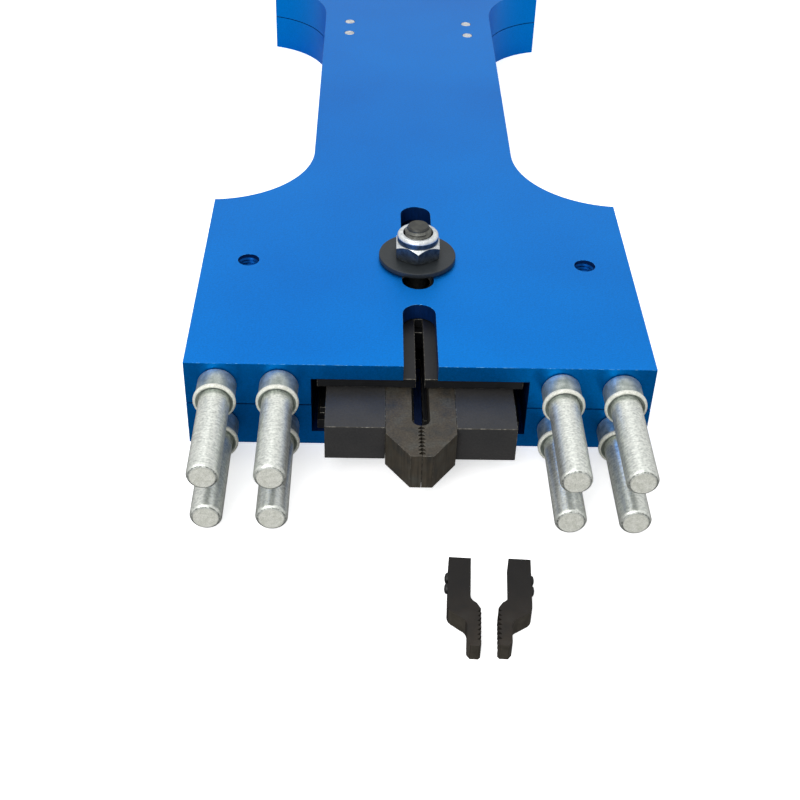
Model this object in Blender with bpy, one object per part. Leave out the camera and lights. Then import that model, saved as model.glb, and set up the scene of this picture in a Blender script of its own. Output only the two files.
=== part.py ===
"""A hand-held clamp-and-pin bending head: two waisted body plates, eight bending pins, and a pair of toothed
jaws that a sliding clamp bolt opens and closes. Metres, +Z up. Sizes along Y are from the front face."""

import math

import bmesh
import bpy
from mathutils import Matrix, Vector

GAP = 0.0003
OVERCUT = 0.002
FRONT_FACE_Y = -0.150

# Body plates
BODY_HEIGHT = 0.028
PARTING_Z = 0.014
HEAD_HALF = 0.065
NECK_HALF = 0.034
FAR_HALF = 0.0573
NEAR_ARC_RADIUS = 0.034
NEAR_ARC_Y = 0.1225
FAR_ARC_RADIUS = 0.032
FAR_HEAD_START = 0.274
BODY_LENGTH = 0.350
FAR_CORNER_RADIUS = 0.008

# Pocket and slots
POCKET_HALF = 0.0302
POCKET_DEPTH = 0.088
POCKET_FLOOR = 0.0045
POCKET_ROOF = 0.0231
SLOT_HALF = 0.00475
OPEN_SLOT_END = 0.030
CLOSED_SLOT_START = 0.038
CLOSED_SLOT_END = 0.086

# Bending pins and their sleeves
PIN_X = {"inner": 0.039, "outer": 0.056}
PIN_Z = {"upper": 0.021, "lower": 0.007}
PIN_RADIUS = 0.00425
PIN_REACH = 0.0387
PIN_ROOT = 0.020
PIN_CHAMFER = 0.0008
SLEEVE_RADIUS = 0.0054
SLEEVE_LENGTH = 0.0084
RIM_RADIUS = 0.00585
RIM_WIDTH = 0.0012

# Clamp: carriers, jaws, slide block and cam pins
CLAMP_LOW = 0.0084
CLAMP_HIGH = 0.0194
CARRIER_INNER = 0.0096
CARRIER_OUTER = 0.026
CARRIER_FRONT = -0.016
CARRIER_BACK = 0.014
LEG_INNER = 0.012
LEG_BACK = 0.044
LEG_HIGH = 0.0133
JAW_OUTER = 0.0093
JAW_SHOULDER = -0.0186
JAW_TIP_HALF = 0.003
JAW_TIP = -0.0275
JAW_BACK = 0.012
TOOTH_COUNT = 8
TOOTH_PITCH = 0.00148
TOOTH_DEPTH = 0.0008
THROAT_HALF = 0.00245
THROAT_FRONT = -0.0149
BLOCK_LOW = 0.0137
BLOCK_HALF = 0.0245
BLOCK_FRONT = 0.028
BLOCK_BACK = 0.066
CAM_PIN_X = 0.021
CAM_PIN_Y = 0.038
CAM_PIN_RADIUS = 0.002
CLAMP_TRAVEL = 0.012
JAW_TRAVEL = 0.0035

# Wear plates, with a cross key on the lower one
WEAR_HALF = 0.0286
WEAR_FRONT = 0.001
WEAR_BACK = 0.036
SLIT_HALF = 0.0012
SLIT_END = 0.030
UPPER_WEAR = (0.0198, 0.0228)
LOWER_WEAR = (0.0048, 0.0080)
KEY_TOP = 0.0100
KEY_Y = (0.004, 0.008)
KEY_X = (0.0135, 0.028)

# Fasteners
BOLT_Y = 0.055
BOLT_RADIUS = 0.004
BOLT_TOP = 0.0397
BOLT_HEAD_LOW = 0.0088
WASHER_RADIUS = 0.0117
WASHER_THICKNESS = 0.0016
NUT_HALF_FLATS = 0.0065
NUT_HEX_HEIGHT = 0.0055
NUT_HEIGHT = 0.0074
NUT_CHAMFER = 0.0006
COLLAR_RADIUS = 0.0059
INSERT_RADIUS = 0.0051
LIP_RADIUS = 0.0048
SCREW_X = 0.0512
SCREW_Y = 0.0525
FAR_SCREW_X = 0.044
FAR_SCREW_Y = 0.316
SCREW_RADIUS = 0.0029
SCREW_TOP = 0.0225
SCREW_HEAD_RADIUS = 0.005
SCREW_HEAD = (0.0005, 0.0062)
DOWEL_X = 0.024
DOWEL_Y = (0.2250, 0.2365)
DOWEL_RADIUS = 0.002
DOWEL_LOW = 0.003
WEAR_SCREW_X = 0.019
WEAR_SCREW_Y = 0.0315
WEAR_SCREW_RADIUS = 0.0014
WEAR_SCREW_HEAD = 0.0028
WEAR_SCREW_DEPTH = 0.0034
WEAR_SCREW_LENGTH = 0.008
WEAR_SCREW_SINK = 0.0002
LOCATING_RADIUS = 0.0014
LOCATING_Y = (0.001, 0.0065)
LOCATING_X = (0.0073, 0.0115)
SOCKET_RADIUS = 0.0024
SOCKET_DEPTH = 0.003

# Spare jaws, lying flat on the bench in front of the tool
SPARE_THICKNESS = 0.005
SPARE_TILT = math.radians(-3.5)
SPARE_BACK_Y = -0.0500
SPARE_LEFT_X = 0.0124
SPARE_RIGHT_X = 0.0219
SPARE_LENGTH = 0.029
SPARE_SHANK = 0.0057
SPARE_TIP = 0.0034
SPARE_STEP = 0.0027
SPARE_TEETH_START = 0.0172
SPARE_TOOTH_COUNT = 7
SPARE_PIN_Y = (-0.0087, -0.0052)
SPARE_PIN_OUT = 0.0009
SPARE_PIN_IN = 0.002

COLOURS = {
    "blue_aluminium": ((0.010, 0.130, 0.560), 1.0, 0.42),
    "zinc_steel": ((0.62, 0.64, 0.63), 1.0, 0.38),
    "dark_steel": ((0.055, 0.055, 0.057), 0.9, 0.50),
    "jaw_steel": ((0.075, 0.067, 0.058), 0.9, 0.48),
    "bright_steel": ((0.70, 0.72, 0.74), 1.0, 0.25),
    "nylon": ((0.03, 0.03, 0.035), 0.0, 0.55),
}


def material(name):
    found = bpy.data.materials.get(name)
    if found:
        return found
    colour, metallic, roughness = COLOURS[name]
    made = bpy.data.materials.new(name)
    made.use_nodes = True
    shader = made.node_tree.nodes["Principled BSDF"]
    shader.inputs["Base Color"].default_value = (*colour, 1.0)
    shader.inputs["Metallic"].default_value = metallic
    shader.inputs["Roughness"].default_value = roughness
    return made


def as_object(name, mesh_maker):
    """Closes the mesh that is being made, turns its faces outwards and gives it an object."""
    bmesh.ops.remove_doubles(mesh_maker, verts=mesh_maker.verts, dist=1e-6)
    bmesh.ops.recalc_face_normals(mesh_maker, faces=mesh_maker.faces)
    mesh = bpy.data.meshes.new(name)
    mesh_maker.to_mesh(mesh)
    mesh_maker.free()
    solid = bpy.data.objects.new(name, mesh)
    bpy.context.collection.objects.link(solid)
    return solid


def prism(name, outline, low, high):
    """An outline in X and Y, raised from low to high."""
    maker = bmesh.new()
    corners = [maker.verts.new((x, y, low)) for x, y in outline]
    face = maker.faces.new(corners)
    raised = bmesh.ops.extrude_face_region(maker, geom=[face])
    top = [part for part in raised["geom"] if isinstance(part, bmesh.types.BMVert)]
    bmesh.ops.translate(maker, verts=top, vec=(0, 0, high - low))
    return as_object(name, maker)


def block(name, x, y, z):
    """A box between two limits on each axis."""
    return prism(name, [(x[0], y[0]), (x[1], y[0]), (x[1], y[1]), (x[0], y[1])], *z)


def turned(name, profile, steps=24):
    """A solid of revolution about Z from (radius, height) points. A profile off the axis is a ring."""
    maker = bmesh.new()
    points = [maker.verts.new((radius, 0, height)) for radius, height in profile]
    edges = [maker.edges.new(pair) for pair in zip(points, points[1:])]
    if profile[0][0] > 0 and profile[-1][0] > 0:
        edges.append(maker.edges.new((points[-1], points[0])))
    bmesh.ops.spin(
        maker, geom=points + edges, cent=(0, 0, 0), axis=(0, 0, 1), angle=math.tau, steps=steps, use_merge=True
    )
    return as_object(name, maker)


def rod(name, radius, low, high, steps=24):
    return turned(name, [(0, low), (radius, low), (radius, high), (0, high)], steps)


def lay(solid, place=(0, 0, 0), along="+Z"):
    """Turns a solid that was made along Z to lie along another axis, and moves it to its place."""
    turns = {
        "+Z": Matrix(),
        "-Z": Matrix.Rotation(math.pi, 4, "X"),
        "-Y": Matrix.Rotation(math.pi / 2, 4, "X"),
        "+X": Matrix.Rotation(math.pi / 2, 4, "Y"),
        "-X": Matrix.Rotation(-math.pi / 2, 4, "Y"),
    }
    solid.data.transform(Matrix.Translation(place) @ turns[along])
    return solid


def combine(solid, tool, operation="DIFFERENCE"):
    """Cuts, joins or intersects a solid with a tool, and removes the tool."""
    change = solid.modifiers.new(operation.lower(), "BOOLEAN")
    change.operation = operation
    change.solver = "EXACT"
    change.object = tool
    graph = bpy.context.evaluated_depsgraph_get()
    graph.update()
    maker = bmesh.new()
    maker.from_mesh(solid.evaluated_get(graph).to_mesh())
    bmesh.ops.remove_doubles(maker, verts=maker.verts, dist=1e-6)
    maker.to_mesh(solid.data)
    maker.free()
    solid.modifiers.clear()
    bpy.data.objects.remove(tool)
    return solid


def finish(solid, finish_name, parent, round_piece=False):
    """Gives a piece its material, its shading and its parent."""
    solid.data.materials.clear()
    solid.data.materials.append(material(finish_name))
    if round_piece:
        solid.data.shade_smooth()
        solid.data.set_sharp_from_angle(angle=math.radians(35))
    solid.parent = parent
    return solid


def guide(name, parent=None, place=(0, 0, 0)):
    """An empty that carries the pieces that belong, or move, together."""
    empty = bpy.data.objects.new(name, None)
    empty.location = place
    empty.parent = parent
    bpy.context.collection.objects.link(empty)
    return empty


def arc(centre, radius, start, end, steps):
    """Points on an arc, with its angles in degrees."""
    angles = [math.radians(start + (end - start) * i / steps) for i in range(steps + 1)]
    return [(centre[0] + radius * math.cos(a), centre[1] + radius * math.sin(a)) for a in angles]


def mirrored(points):
    return [(-x, y) for x, y in reversed(points)]


def body_outline():
    """The right half from the front corner to the far end, then its mirror image."""
    near_centre = (NECK_HALF + NEAR_ARC_RADIUS, NEAR_ARC_Y)
    near_turn = math.degrees(math.acos((near_centre[0] - HEAD_HALF) / NEAR_ARC_RADIUS))
    far_reach = NECK_HALF + FAR_ARC_RADIUS - FAR_HALF
    far_turn = math.degrees(math.acos(far_reach / FAR_ARC_RADIUS))
    far_centre = (NECK_HALF + FAR_ARC_RADIUS, FAR_HEAD_START - math.sqrt(FAR_ARC_RADIUS**2 - far_reach**2))
    corner = (FAR_HALF - FAR_CORNER_RADIUS, BODY_LENGTH - FAR_CORNER_RADIUS)
    right = [(HEAD_HALF, 0.0)]
    right += arc(near_centre, NEAR_ARC_RADIUS, 180 + near_turn, 180, 14)
    right += arc(far_centre, FAR_ARC_RADIUS, 180, 180 - far_turn, 12)
    right += arc(corner, FAR_CORNER_RADIUS, 0, 90, 4)
    return right + mirrored(right)


def slot_cutter(start, end):
    """A round-ended slot through the upper plate's roof; an open one starts ahead of the front face."""
    outline = arc((0, end - SLOT_HALF), SLOT_HALF, 0, 180, 12)
    if start < 0:
        outline += [(-SLOT_HALF, start), (SLOT_HALF, start)]
    else:
        outline += arc((0, start + SLOT_HALF), SLOT_HALF, 180, 360, 12)
    return prism("slot_cutter", outline, POCKET_ROOF - OVERCUT, BODY_HEIGHT + OVERCUT)


def pin_hole(x, z):
    return lay(rod("pin_hole", PIN_RADIUS + GAP, -PIN_ROOT - GAP, OVERCUT), (x, 0, z), "-Y")


def body_plate(name, low, high, row):
    """One half of the body: its outline, its share of the pocket, and the holes for its four bending pins."""
    plate = prism(name, body_outline(), low, high)
    pocket = block(
        "pocket",
        (-POCKET_HALF, POCKET_HALF),
        (-OVERCUT, POCKET_DEPTH),
        (max(POCKET_FLOOR, low - OVERCUT), min(POCKET_ROOF, high + OVERCUT)),
    )
    combine(plate, pocket)
    for side in (-1, 1):
        for x in PIN_X.values():
            combine(plate, pin_hole(side * x, PIN_Z[row]))
    return plate


def drill(plate, name, radius, places, low, high, steps=24):
    """Upright holes of one size, each at its own place."""
    for x, y in places:
        combine(plate, lay(rod(name, radius, low, high, steps), (x, y, 0)))


def wear_screw_places():
    return [(side * WEAR_SCREW_X, WEAR_SCREW_Y) for side in (-1, 1)]


def plate_screw_places():
    near = [(side * SCREW_X, SCREW_Y) for side in (-1, 1)]
    far = [(side * FAR_SCREW_X, FAR_SCREW_Y) for side in (-1, 1)]
    return near, far


def dowel_places():
    return [(side * DOWEL_X, y) for side in (-1, 1) for y in DOWEL_Y]


def upper_body_plate(parent):
    plate = body_plate("upper_body_plate", PARTING_Z + GAP / 2, BODY_HEIGHT, "upper")
    combine(plate, slot_cutter(-OVERCUT, OPEN_SLOT_END))
    combine(plate, slot_cutter(CLOSED_SLOT_START, CLOSED_SLOT_END))
    near, far = plate_screw_places()
    low = PARTING_Z - OVERCUT
    drill(plate, "tapped_hole", SCREW_RADIUS + GAP, near, low, BODY_HEIGHT + OVERCUT)
    drill(plate, "blind_tapped_hole", SCREW_RADIUS + GAP, far, low, SCREW_TOP + GAP)
    drill(plate, "dowel_hole", DOWEL_RADIUS + GAP, dowel_places(), low, BODY_HEIGHT + OVERCUT)
    depth = POCKET_ROOF + WEAR_SCREW_DEPTH
    drill(plate, "screw_hole", WEAR_SCREW_RADIUS + GAP, wear_screw_places(), POCKET_ROOF - OVERCUT, depth, 16)
    finish(plate, "blue_aluminium", parent)


def lower_body_plate(parent):
    plate = body_plate("lower_body_plate", 0.0, PARTING_Z - GAP / 2, "lower")
    near, far = plate_screw_places()
    step = SCREW_HEAD[1] + GAP
    counterbore = [
        (0, -OVERCUT),
        (SCREW_HEAD_RADIUS + GAP, -OVERCUT),
        (SCREW_HEAD_RADIUS + GAP, step),
        (SCREW_RADIUS + GAP, step),
        (SCREW_RADIUS + GAP, PARTING_Z + OVERCUT),
        (0, PARTING_Z + OVERCUT),
    ]
    for x, y in near + far:
        combine(plate, lay(turned("counterbore", counterbore), (x, y, 0)))
    drill(plate, "dowel_hole", DOWEL_RADIUS + GAP, dowel_places(), DOWEL_LOW - GAP, PARTING_Z + OVERCUT)
    depth = POCKET_FLOOR - WEAR_SCREW_DEPTH
    drill(plate, "screw_hole", WEAR_SCREW_RADIUS + GAP, wear_screw_places(), depth, POCKET_FLOOR + OVERCUT, 16)
    finish(plate, "blue_aluminium", parent)


def bending_pins_and_sleeves(parent):
    """Eight alike pins, each pressed into its plate with a rimmed sleeve round its root."""
    pin = turned(
        "pin",
        [
            (0, -PIN_ROOT),
            (PIN_RADIUS, -PIN_ROOT),
            (PIN_RADIUS, PIN_REACH - PIN_CHAMFER),
            (PIN_RADIUS - PIN_CHAMFER, PIN_REACH),
            (0, PIN_REACH),
        ],
    )
    bore = PIN_RADIUS + GAP
    sleeve = turned(
        "sleeve",
        [
            (bore, GAP),
            (SLEEVE_RADIUS, GAP),
            (SLEEVE_RADIUS, SLEEVE_LENGTH - RIM_WIDTH),
            (RIM_RADIUS, SLEEVE_LENGTH - RIM_WIDTH * 0.6),
            (RIM_RADIUS, SLEEVE_LENGTH - RIM_WIDTH * 0.3),
            (RIM_RADIUS - RIM_WIDTH * 0.3, SLEEVE_LENGTH),
            (bore, SLEEVE_LENGTH),
        ],
    )
    for solid in (pin, sleeve):
        lay(solid, along="-Y")
        finish(solid, "zinc_steel", parent, round_piece=True)
    for row, z in PIN_Z.items():
        for side, sign in (("left", -1), ("right", 1)):
            for place, x in PIN_X.items():
                for kind, solid in (("pin", pin), ("sleeve", sleeve)):
                    copy = bpy.data.objects.new(f"{kind}_{row}_{side}_{place}", solid.data)
                    copy.location = (sign * x, 0, z)
                    copy.parent = parent
                    bpy.context.collection.objects.link(copy)
    bpy.data.objects.remove(pin)
    bpy.data.objects.remove(sleeve)


def wear_plate(name, z, screw_face, parent):
    """A hardened liner with a slit along its middle and two countersunk screw holes."""
    plate = block(name, (-WEAR_HALF, WEAR_HALF), (WEAR_FRONT, WEAR_BACK), z)
    through = (z[0] - OVERCUT, z[1] + OVERCUT)
    combine(plate, block("slit", (-SLIT_HALF, SLIT_HALF), (WEAR_FRONT - OVERCUT, SLIT_END), through))
    if name == "lower_wear_plate":
        for side in (-1, 1):
            x = sorted((side * KEY_X[0], side * KEY_X[1]))
            combine(plate, block("key", x, KEY_Y, (sum(z) / 2, KEY_TOP)), "UNION")
    direction = "+Z" if screw_face > sum(z) / 2 else "-Z"
    profile = wear_screw_profile(GAP)
    for x, y in wear_screw_places():
        above = [(WEAR_SCREW_HEAD + GAP, OVERCUT), (0, OVERCUT)]
        cutter = turned("countersink", [(0, -WEAR_SCREW_LENGTH)] + profile + above, 16)
        combine(plate, lay(cutter, (x, y, screw_face), direction))
    return finish(plate, "dark_steel", parent)


def wear_screw_profile(clearance):
    """A countersunk screw below the plane of its head, which lies at height 0."""
    shank = WEAR_SCREW_RADIUS + clearance
    head = WEAR_SCREW_HEAD + clearance
    return [(shank, -WEAR_SCREW_LENGTH), (shank, -(WEAR_SCREW_HEAD - WEAR_SCREW_RADIUS)), (head, 0)]


def wear_screws(parent):
    """Two countersunk screws in each wear plate, a little below the faces that the carriers slide on."""
    length = UPPER_WEAR[1] - UPPER_WEAR[0] + WEAR_SCREW_DEPTH - GAP
    cone = WEAR_SCREW_HEAD - WEAR_SCREW_RADIUS
    faces = (("upper", UPPER_WEAR[0] + WEAR_SCREW_SINK, "-Z"), ("lower", LOWER_WEAR[1] - WEAR_SCREW_SINK, "+Z"))
    for row, face, direction in faces:
        for side, (x, y) in zip(("left", "right"), wear_screw_places()):
            profile = [
                (0, -length),
                (WEAR_SCREW_RADIUS, -length),
                (WEAR_SCREW_RADIUS, -cone),
                (WEAR_SCREW_HEAD, 0),
                (0, 0),
            ]
            screw = lay(turned(f"wear_screw_{row}_{side}", profile, 16), (x, y, face), direction)
            finish(screw, "dark_steel", parent, round_piece=True)


def plate_screws(parent):
    """Socket-head screws from the underside; the near pair ends inside the tapped holes of the top face."""
    near, far = plate_screw_places()
    names = ("near_left", "near_right", "far_left", "far_right")
    for name, (x, y) in zip(names, near + far):
        profile = [
            (0, SCREW_HEAD[0] + SOCKET_DEPTH),
            (SOCKET_RADIUS, SCREW_HEAD[0] + SOCKET_DEPTH),
            (SOCKET_RADIUS, SCREW_HEAD[0]),
            (SCREW_HEAD_RADIUS, SCREW_HEAD[0]),
            (SCREW_HEAD_RADIUS, SCREW_HEAD[1]),
            (SCREW_RADIUS, SCREW_HEAD[1]),
            (SCREW_RADIUS, SCREW_TOP),
            (0, SCREW_TOP),
        ]
        finish(lay(turned(f"plate_screw_{name}", profile), (x, y, 0)), "dark_steel", parent, round_piece=True)


def dowel_pins(parent):
    names = ("left_front", "left_rear", "right_front", "right_rear")
    for name, (x, y) in zip(names, dowel_places()):
        pin = lay(rod(f"dowel_pin_{name}", DOWEL_RADIUS, DOWEL_LOW, BODY_HEIGHT, 16), (x, y, 0))
        finish(pin, "bright_steel", parent, round_piece=True)


def tooth_line(start, count, face, depth):
    """Saw teeth along Y from the front: each notch is deepest near its front end."""
    points = []
    for i in range(count):
        tooth = start + i * TOOTH_PITCH
        points += [(face, tooth), (face, tooth + TOOTH_PITCH * 0.3), (face + depth, tooth + TOOTH_PITCH * 0.42)]
    points.append((face, start + count * TOOTH_PITCH))
    return points


def jaw(name, side, parent):
    """A shank between the carriers, a throat on the middle line, teeth ahead of it and a pointed nose."""
    face = GAP / 2
    teeth_start = THROAT_FRONT - TOOTH_COUNT * TOOTH_PITCH - 0.0004
    throat_radius = THROAT_HALF - face
    outline = [(JAW_OUTER, JAW_BACK), (THROAT_HALF, JAW_BACK)]
    outline += arc((face, THROAT_FRONT + throat_radius), throat_radius, 0, -90, 6)
    outline += tooth_line(teeth_start, TOOTH_COUNT, face, TOOTH_DEPTH)[::-1]
    outline += [(face, JAW_TIP), (JAW_TIP_HALF, JAW_TIP), (JAW_OUTER, JAW_SHOULDER)]
    if side < 0:
        outline = mirrored(outline)
    solid = prism(name, outline, CLAMP_LOW, CLAMP_HIGH)
    for y in LOCATING_Y:
        sunk = LOCATING_X[0] - GAP
        combine(solid, locating_rod("pin_seat", LOCATING_RADIUS + GAP, side, y, sunk, JAW_OUTER + OVERCUT))
    return finish(solid, "jaw_steel", parent)


def locating_rod(name, radius, side, y, start, end):
    direction = "+X" if side > 0 else "-X"
    return lay(rod(name, radius, start, end, 16), (0, y, (CLAMP_LOW + CLAMP_HIGH) / 2), direction)


def cam_slot(side):
    """The oblique slot that the cam pin runs along as the slide block comes forward."""
    half = CAM_PIN_RADIUS + GAP
    travel = Vector((-JAW_TRAVEL, -CLAMP_TRAVEL))
    along = math.degrees(math.atan2(travel.y, travel.x))
    start = Vector((CAM_PIN_X, CAM_PIN_Y))
    outline = arc(start + travel, half, along - 90, along + 90, 8)
    outline += arc(start, half, along + 90, along + 270, 8)
    if side < 0:
        outline = mirrored(outline)
    return prism("cam_slot", outline, CLAMP_LOW - OVERCUT, LEG_HIGH + OVERCUT)


def jaw_carrier(name, side, parent):
    """A square block with a thin leg behind it; it slides across the body on the lower wear plate's key."""
    outline = [
        (CARRIER_INNER, CARRIER_FRONT),
        (CARRIER_OUTER, CARRIER_FRONT),
        (CARRIER_OUTER, LEG_BACK),
        (LEG_INNER, LEG_BACK),
        (LEG_INNER, CARRIER_BACK),
        (CARRIER_INNER, CARRIER_BACK),
    ]
    if side < 0:
        outline = mirrored(outline)
    solid = prism(name, outline, CLAMP_LOW, CLAMP_HIGH)
    x = sorted((side * (CARRIER_INNER - OVERCUT), side * (CARRIER_OUTER + OVERCUT)))
    combine(solid, block("relief", x, (CARRIER_BACK, LEG_BACK + OVERCUT), (LEG_HIGH, CLAMP_HIGH + OVERCUT)))
    groove_y = (KEY_Y[0] - GAP, KEY_Y[1] + GAP)
    combine(solid, block("key_groove", x, groove_y, (CLAMP_LOW - OVERCUT, KEY_TOP + GAP)))
    combine(solid, cam_slot(side))
    for y in LOCATING_Y:
        bottom = LOCATING_X[1] + GAP
        combine(solid, locating_rod("pin_seat", LOCATING_RADIUS + GAP, side, y, LOCATING_X[0], bottom))
    return finish(solid, "dark_steel", parent)


def jaw_half(side_name, side, frame):
    """A jaw, its carrier and the two pins that tie them together, which slide across the body as one."""
    empty = guide(f"{side_name}_jaw_slide", frame)
    jaw(f"jaw_{side_name}", side, empty)
    jaw_carrier(f"jaw_carrier_{side_name}", side, empty)
    for place, y in zip(("front", "rear"), LOCATING_Y):
        pin = locating_rod(f"jaw_pin_{side_name}_{place}", LOCATING_RADIUS, side, y, *LOCATING_X)
        finish(pin, "dark_steel", empty, round_piece=True)


def hexagon(half_flats, low, high, name):
    radius = half_flats / math.cos(math.pi / 6)
    corners = [math.radians(-90 + 60 * i) for i in range(6)]
    return prism(name, [(radius * math.cos(a), radius * math.sin(a)) for a in corners], low, high)


def slide_block(parent):
    y = (BLOCK_FRONT - BOLT_Y, BLOCK_BACK - BOLT_Y)
    solid = block("slide_block", (-BLOCK_HALF, BLOCK_HALF), y, (BLOCK_LOW, CLAMP_HIGH))
    combine(solid, rod("bolt_hole", BOLT_RADIUS + GAP, BLOCK_LOW - OVERCUT, CLAMP_HIGH + OVERCUT))
    for side in (-1, 1):
        seat = rod("cam_seat", CAM_PIN_RADIUS + GAP, BLOCK_LOW - OVERCUT, CLAMP_HIGH + OVERCUT, 16)
        combine(solid, lay(seat, (side * CAM_PIN_X, CAM_PIN_Y - BOLT_Y, 0)))
    finish(solid, "dark_steel", parent)
    for name, side in (("left", -1), ("right", 1)):
        pin = rod(f"cam_pin_{name}", CAM_PIN_RADIUS, CLAMP_LOW + GAP, CLAMP_HIGH - GAP, 16)
        lay(pin, (side * CAM_PIN_X, CAM_PIN_Y - BOLT_Y, 0))
        finish(pin, "bright_steel", parent, round_piece=True)


def clamp_bolt_and_washer(parent):
    """A hexagon-head bolt that comes up through the slide block and the closed slot, and a wide washer."""
    bolt = hexagon(NUT_HALF_FLATS, BOLT_HEAD_LOW, BLOCK_LOW - GAP, "clamp_bolt")
    chamfer = 0.0008
    shaft = turned(
        "shaft",
        [
            (0, BLOCK_LOW - OVERCUT),
            (BOLT_RADIUS, BLOCK_LOW - OVERCUT),
            (BOLT_RADIUS, BOLT_TOP - chamfer),
            (BOLT_RADIUS - chamfer, BOLT_TOP),
            (0, BOLT_TOP),
        ],
    )
    combine(bolt, shaft, "UNION")
    finish(bolt, "dark_steel", parent, round_piece=True)
    low = BODY_HEIGHT + GAP / 2
    high = low + WASHER_THICKNESS
    bore = BOLT_RADIUS + 0.0004
    section = [(bore, low), (WASHER_RADIUS, low), (WASHER_RADIUS, high), (bore, high)]
    washer = turned("clamp_washer", section, 32)
    finish(washer, "dark_steel", parent, round_piece=True)
    return high


def clamp_nut(parent, seat):
    """A lock nut: a chamfered hexagon with a crimped collar over a nylon ring."""
    low = seat + GAP / 2
    high = low + NUT_HEX_HEIGHT
    top = low + NUT_HEIGHT
    corner = NUT_HALF_FLATS / math.cos(math.pi / 6)
    nut = hexagon(NUT_HALF_FLATS, low, high, "clamp_nut")
    chamfers = [
        (0, low),
        (NUT_HALF_FLATS - 0.0001, low),
        (corner, low + NUT_CHAMFER),
        (corner, high - NUT_CHAMFER),
        (COLLAR_RADIUS + 0.0001, high),
        (0, high),
    ]
    combine(nut, turned("chamfers", chamfers, 36), "INTERSECT")
    collar = [
        (0, high - 0.001),
        (COLLAR_RADIUS, high - 0.001),
        (COLLAR_RADIUS, top - 0.0012),
        (COLLAR_RADIUS - 0.0007, top),
        (0, top),
    ]
    combine(nut, turned("collar", collar), "UNION")
    bore = BOLT_RADIUS + GAP
    opening = turned(
        "opening",
        [
            (0, low - OVERCUT),
            (bore, low - OVERCUT),
            (bore, high - 0.0010),
            (INSERT_RADIUS, high - 0.0010),
            (INSERT_RADIUS, top - 0.0008),
            (LIP_RADIUS, top - 0.0006),
            (LIP_RADIUS, top + OVERCUT),
            (0, top + OVERCUT),
        ],
    )
    combine(nut, opening)
    finish(nut, "zinc_steel", parent, round_piece=True)
    ring = [
        (bore, high - 0.0010 + GAP),
        (INSERT_RADIUS - GAP, high - 0.0010 + GAP),
        (INSERT_RADIUS - GAP, top - 0.0008 - GAP),
        (bore, top - 0.0008 - GAP),
    ]
    finish(turned("nut_insert", ring), "nylon", parent, round_piece=True)


def spare_jaw_outline():
    """The right-hand jaw from its back end at the origin, towards -Y; its toothed side faces -X."""
    step = SPARE_STEP
    teeth = -SPARE_TEETH_START
    end = -SPARE_LENGTH
    outer = SPARE_SHANK
    tip_outer = SPARE_TIP - step
    first = teeth - SPARE_TOOTH_COUNT * TOOTH_PITCH
    outline = [(outer, 0), (0, 0), (0, teeth + 0.0045)]
    outline += arc((-step, teeth + 0.0045), step, 0, -64, 8)
    outline += tooth_line(first, SPARE_TOOTH_COUNT, -step, TOOTH_DEPTH * 0.85)[::-1]
    outline += [(-step, end + 0.0006), (-step + 0.0005, end)]
    outline += [(tip_outer - 0.0008, end), (tip_outer, end + 0.0012)]
    outline += arc((tip_outer + 0.0028, teeth - 0.0056), 0.0028, 180, 115, 8)
    outline += arc((outer - 0.0030, teeth + 0.0010), 0.0030, -60, 0, 8)
    return outline


def spare_jaw(name, side, x, frame):
    """An offset jaw with two locating pins on the outer side of its shank, laid flat."""
    empty = guide(f"{name}_lift", frame, (x, SPARE_BACK_Y, 0))
    outline = spare_jaw_outline() if side > 0 else mirrored(spare_jaw_outline())
    solid = prism(name, outline, 0, SPARE_THICKNESS)
    empty.rotation_euler = (0, 0, SPARE_TILT)
    direction = "+X" if side > 0 else "-X"
    sunk = SPARE_SHANK - SPARE_PIN_IN
    for place, y in zip(("front", "rear"), SPARE_PIN_Y):
        seat = rod("pin_seat", LOCATING_RADIUS + GAP, sunk - GAP, SPARE_SHANK + OVERCUT, 16)
        combine(solid, lay(seat, (0, y, SPARE_THICKNESS / 2), direction))
        pin = rod(f"{name}_pin_{place}", LOCATING_RADIUS, sunk, SPARE_SHANK + SPARE_PIN_OUT, 16)
        lay(pin, (0, y, SPARE_THICKNESS / 2), direction)
        finish(pin, "dark_steel", empty, round_piece=True)
    finish(solid, "jaw_steel", empty)


def main():
    for old in list(bpy.data.objects):
        bpy.data.objects.remove(old)
    frame = guide("tool_frame", place=(0, FRONT_FACE_Y, 0))
    upper_body_plate(frame)
    lower_body_plate(frame)
    bending_pins_and_sleeves(frame)
    wear_plate("upper_wear_plate", UPPER_WEAR, UPPER_WEAR[0], frame)
    wear_plate("lower_wear_plate", LOWER_WEAR, LOWER_WEAR[1], frame)
    wear_screws(frame)
    plate_screws(frame)
    dowel_pins(frame)
    jaw_half("left", -1, frame)
    jaw_half("right", 1, frame)
    clamp = guide("clamp_slide", frame, (0, BOLT_Y, 0))
    slide_block(clamp)
    washer_top = clamp_bolt_and_washer(clamp)
    clamp_nut(guide("nut_axis", clamp), washer_top)
    spare_jaw("spare_jaw_left", -1, SPARE_LEFT_X, frame)
    spare_jaw("spare_jaw_right", 1, SPARE_RIGHT_X, frame)


main()
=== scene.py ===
import math

import bmesh
import bpy
from mathutils import Matrix, Vector


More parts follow.
